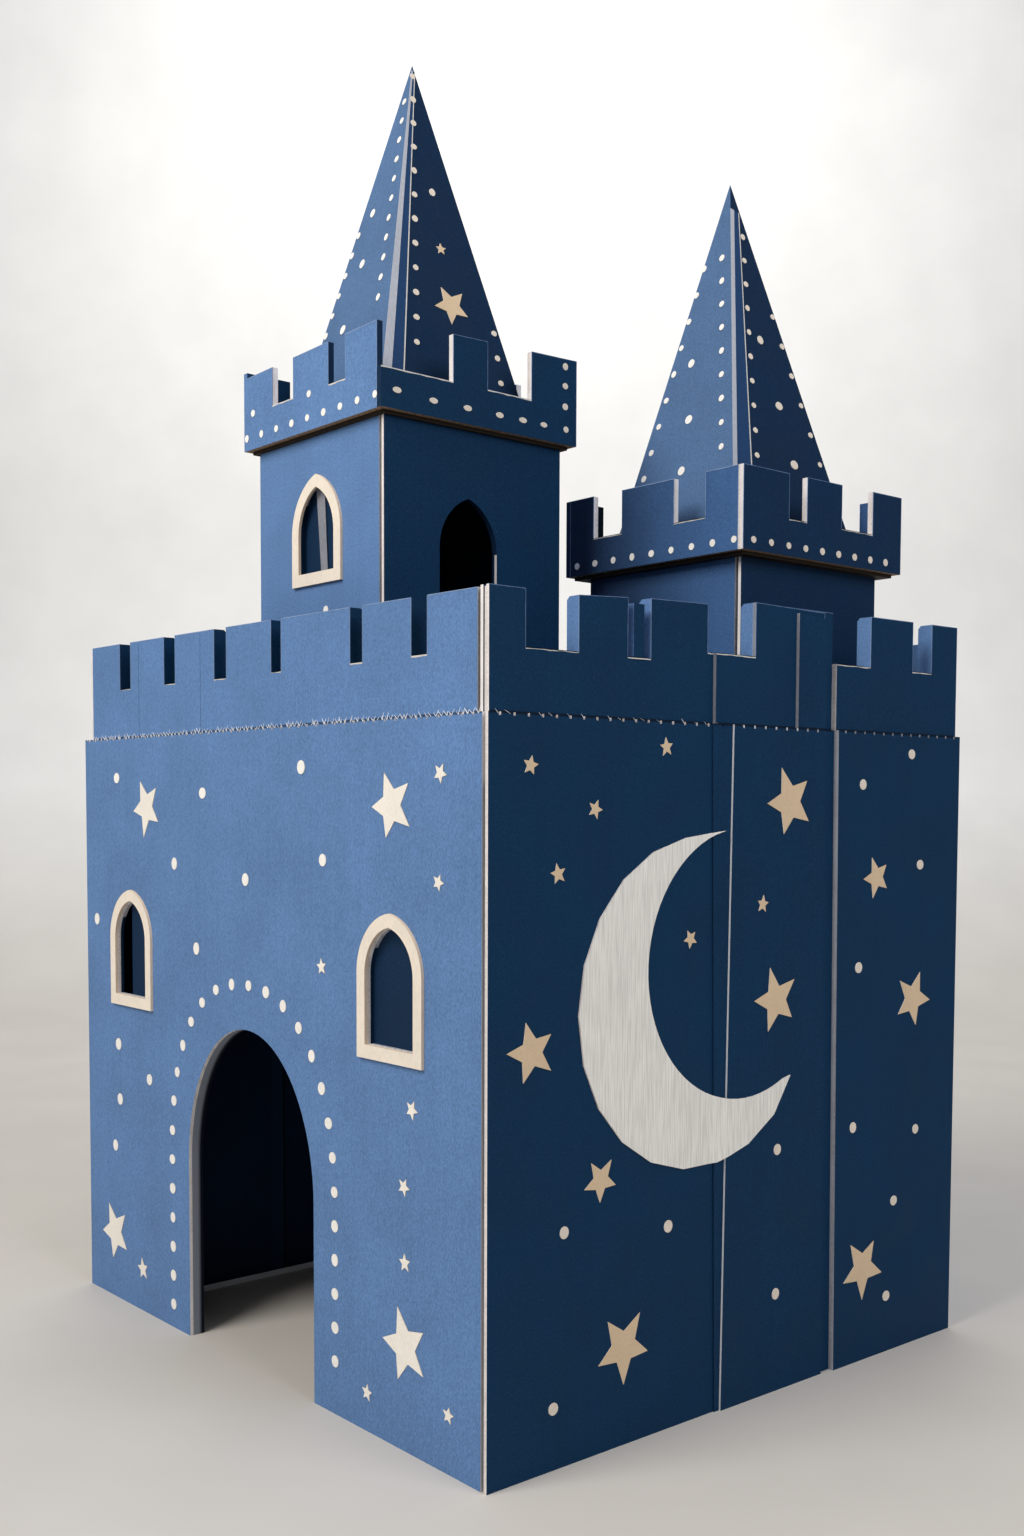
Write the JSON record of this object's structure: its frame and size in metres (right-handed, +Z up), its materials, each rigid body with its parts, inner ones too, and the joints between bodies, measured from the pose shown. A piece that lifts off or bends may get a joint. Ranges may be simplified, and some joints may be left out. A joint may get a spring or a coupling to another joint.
{
  "type": "cardboard castle",
  "caption": "Toy castle folded from corrugated board: open-bottomed box with arched doorway and windows, battlement, roof deck and two square towers with pointed roofs.",
  "frame": {"origin": "middle of the footprint at floor level", "axes": "+Z up, -Y out of the front wall with the door, +X to the right as seen from the front"},
  "size_m": [0.58, 0.5064, 1.0419],
  "materials": {
    "blue_board": "matt blue paper liner",
    "navy_board": "matt navy paper liner",
    "brown_board": "raw kraft",
    "cream_board": "matt cream paper liner",
    "seam_card": "matt light blue card",
    "moon_card": "matt off-white liner",
    "star_paper": "matt tan-gold paper",
    "dot_paper": "matt off-white paper"
  },
  "bodies": {
    "root": {"front_wall": "blue_board", "left_wall": "blue_board", "back_wall": "blue_board", "right_wall": "blue_board", "right_overlay": "blue_board", "right_back_panel": "blue_board", "front_parapet": "blue_board", "right_parapet": "blue_board", "right_parapet_back": "blue_board", "left_parapet": "blue_board", "back_parapet": "blue_board", "right_parapet_overlay": "blue_board", "right_parapet_patch": "blue_board", "left_window_backing": "blue_board", "tower_1_skin": "blue_board", "tower_2_skin": "blue_board", "tower_1_spire_skin": "blue_board", "tower_2_spire_skin": "blue_board", "tower_1_collar_front": "blue_board", "tower_1_collar_right": "blue_board", "tower_1_collar_back": "blue_board", "tower_1_collar_left": "blue_board", "tower_2_collar_front": "blue_board", "tower_2_collar_right": "blue_board", "tower_2_collar_back": "blue_board", "tower_2_collar_left": "blue_board", "inner_carton": "navy_board", "roof_deck": "navy_board", "inner_partition": "navy_board", "door_lining": "navy_board", "corner_strip": "navy_board", "corner_backing": "navy_board", "parapet_tongue": "navy_board", "right_window_backing": "navy_board", "tower_1_window_backing": "navy_board", "tower_1_core": "navy_board", "tower_2_core": "navy_board", "tower_1_spire_core": "navy_board", "tower_2_spire_core": "navy_board", "tower_1_deck": "brown_board", "tower_2_deck": "brown_board", "tower_1_packing": "brown_board", "tower_2_packing": "brown_board", "left_window_frame": "cream_board", "right_window_frame": "cream_board", "tower_1_window_frame": "cream_board", "right_seam_strip": "seam_card", "moon": "moon_card", "front_wall_stars": "star_paper", "right_wall_stars": "star_paper", "tower_1_stars": "star_paper", "front_wall_dots": "dot_paper", "right_wall_dots": "dot_paper", "tower_1_dots": "dot_paper", "tower_2_dots": "dot_paper"}
  },
  "joints": []
}
